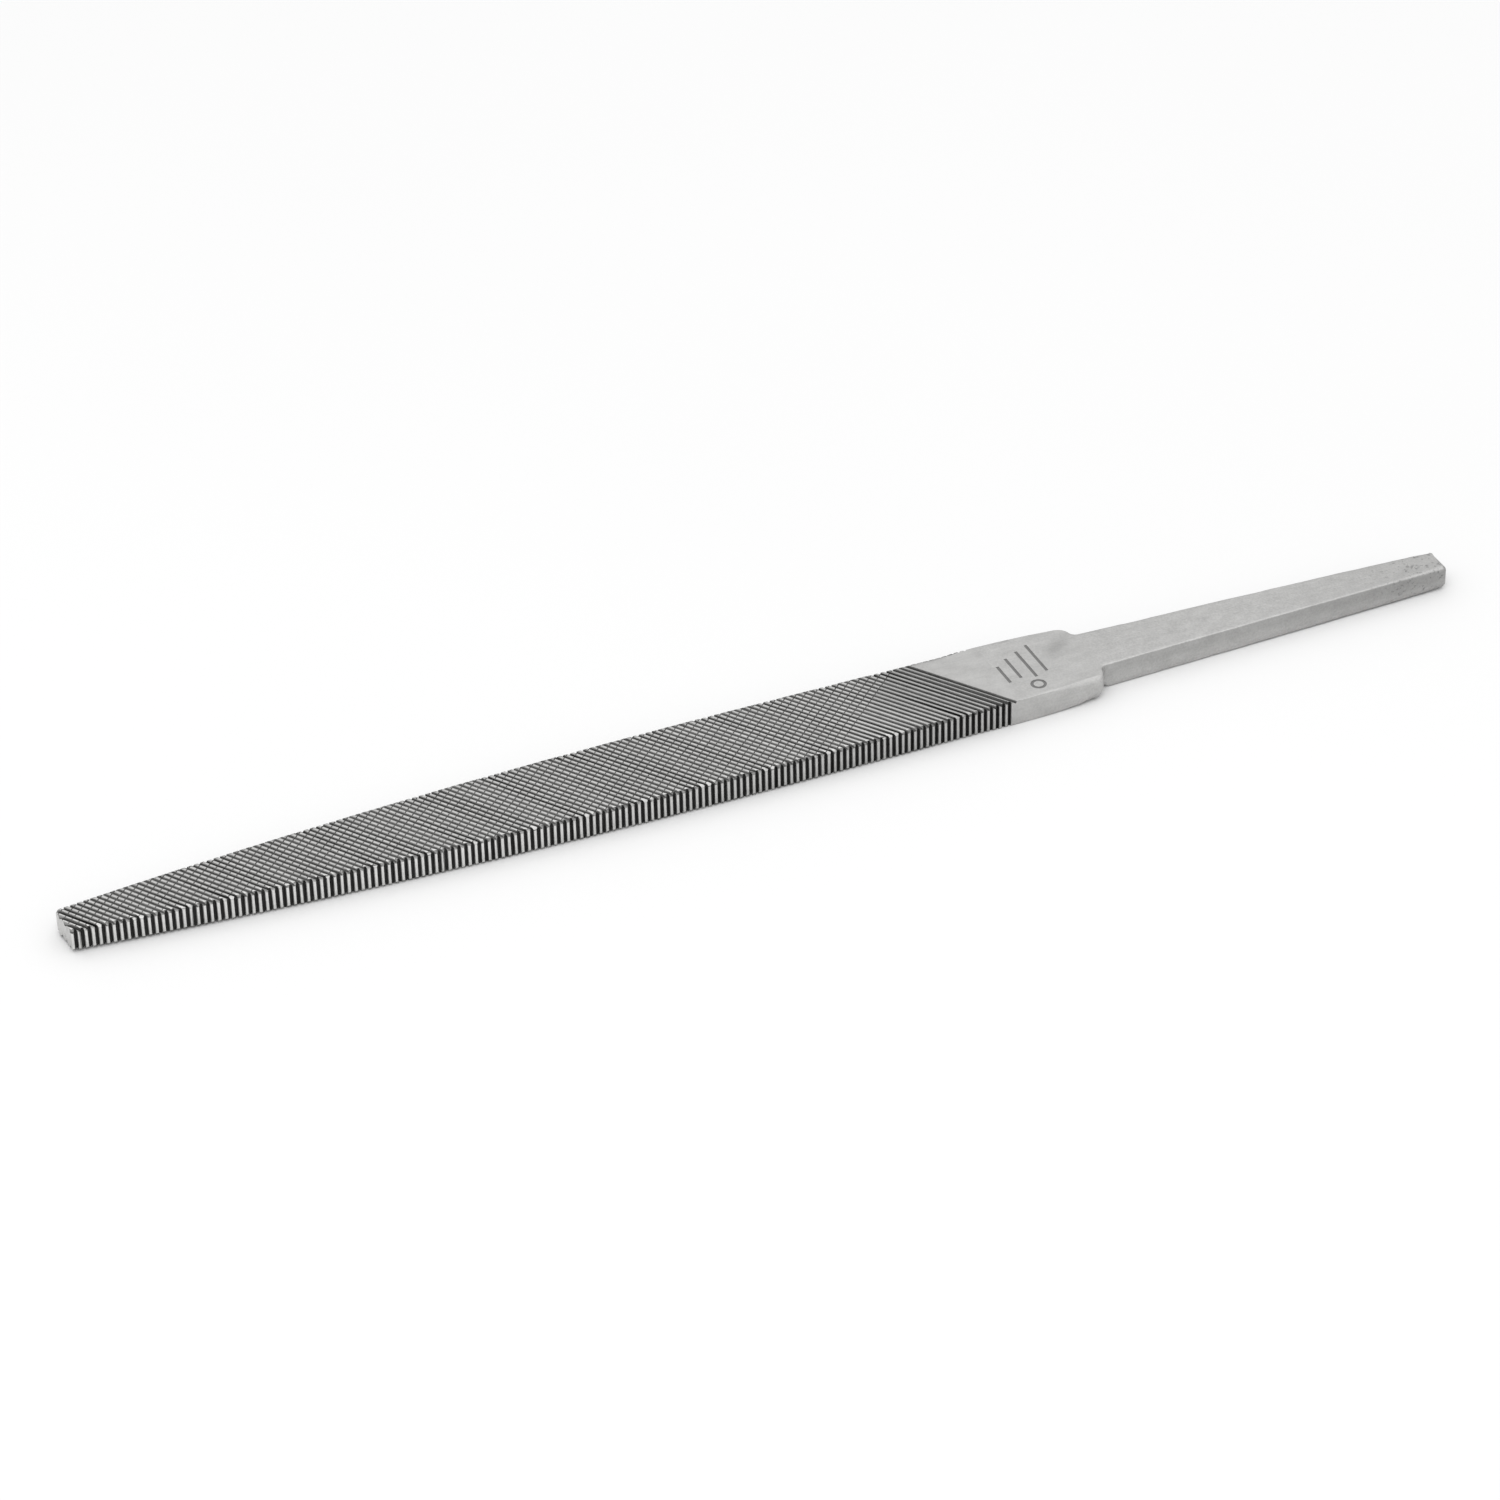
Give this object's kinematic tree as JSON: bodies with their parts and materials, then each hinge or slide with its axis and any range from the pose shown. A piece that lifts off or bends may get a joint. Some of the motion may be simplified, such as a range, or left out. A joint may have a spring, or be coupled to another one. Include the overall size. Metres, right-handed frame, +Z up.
{
  "type": "flat file",
  "caption": "Small flat hand file with double-cut faces, single-cut edges, a smooth heel and a tapered tang, lying flat; no handle.",
  "frame": {"origin": "middle of the shoulder, where the tang starts, at half the thickness", "axes": "+X along the file from the point towards the tang's end, +Y across its width, +Z up out of the upper wide face"},
  "size_m": [0.1378, 0.0104, 0.0026],
  "materials": {
    "cut_steel": "hardened steel cut with fine teeth, bright crests and dark gullets",
    "ground_steel": "smooth ground steel, satin",
    "tang_steel": "unhardened blasted steel, matt"
  },
  "bodies": {
    "root": {"blade": "cut_steel", "heel": "ground_steel", "tang": "tang_steel"}
  },
  "joints": []
}
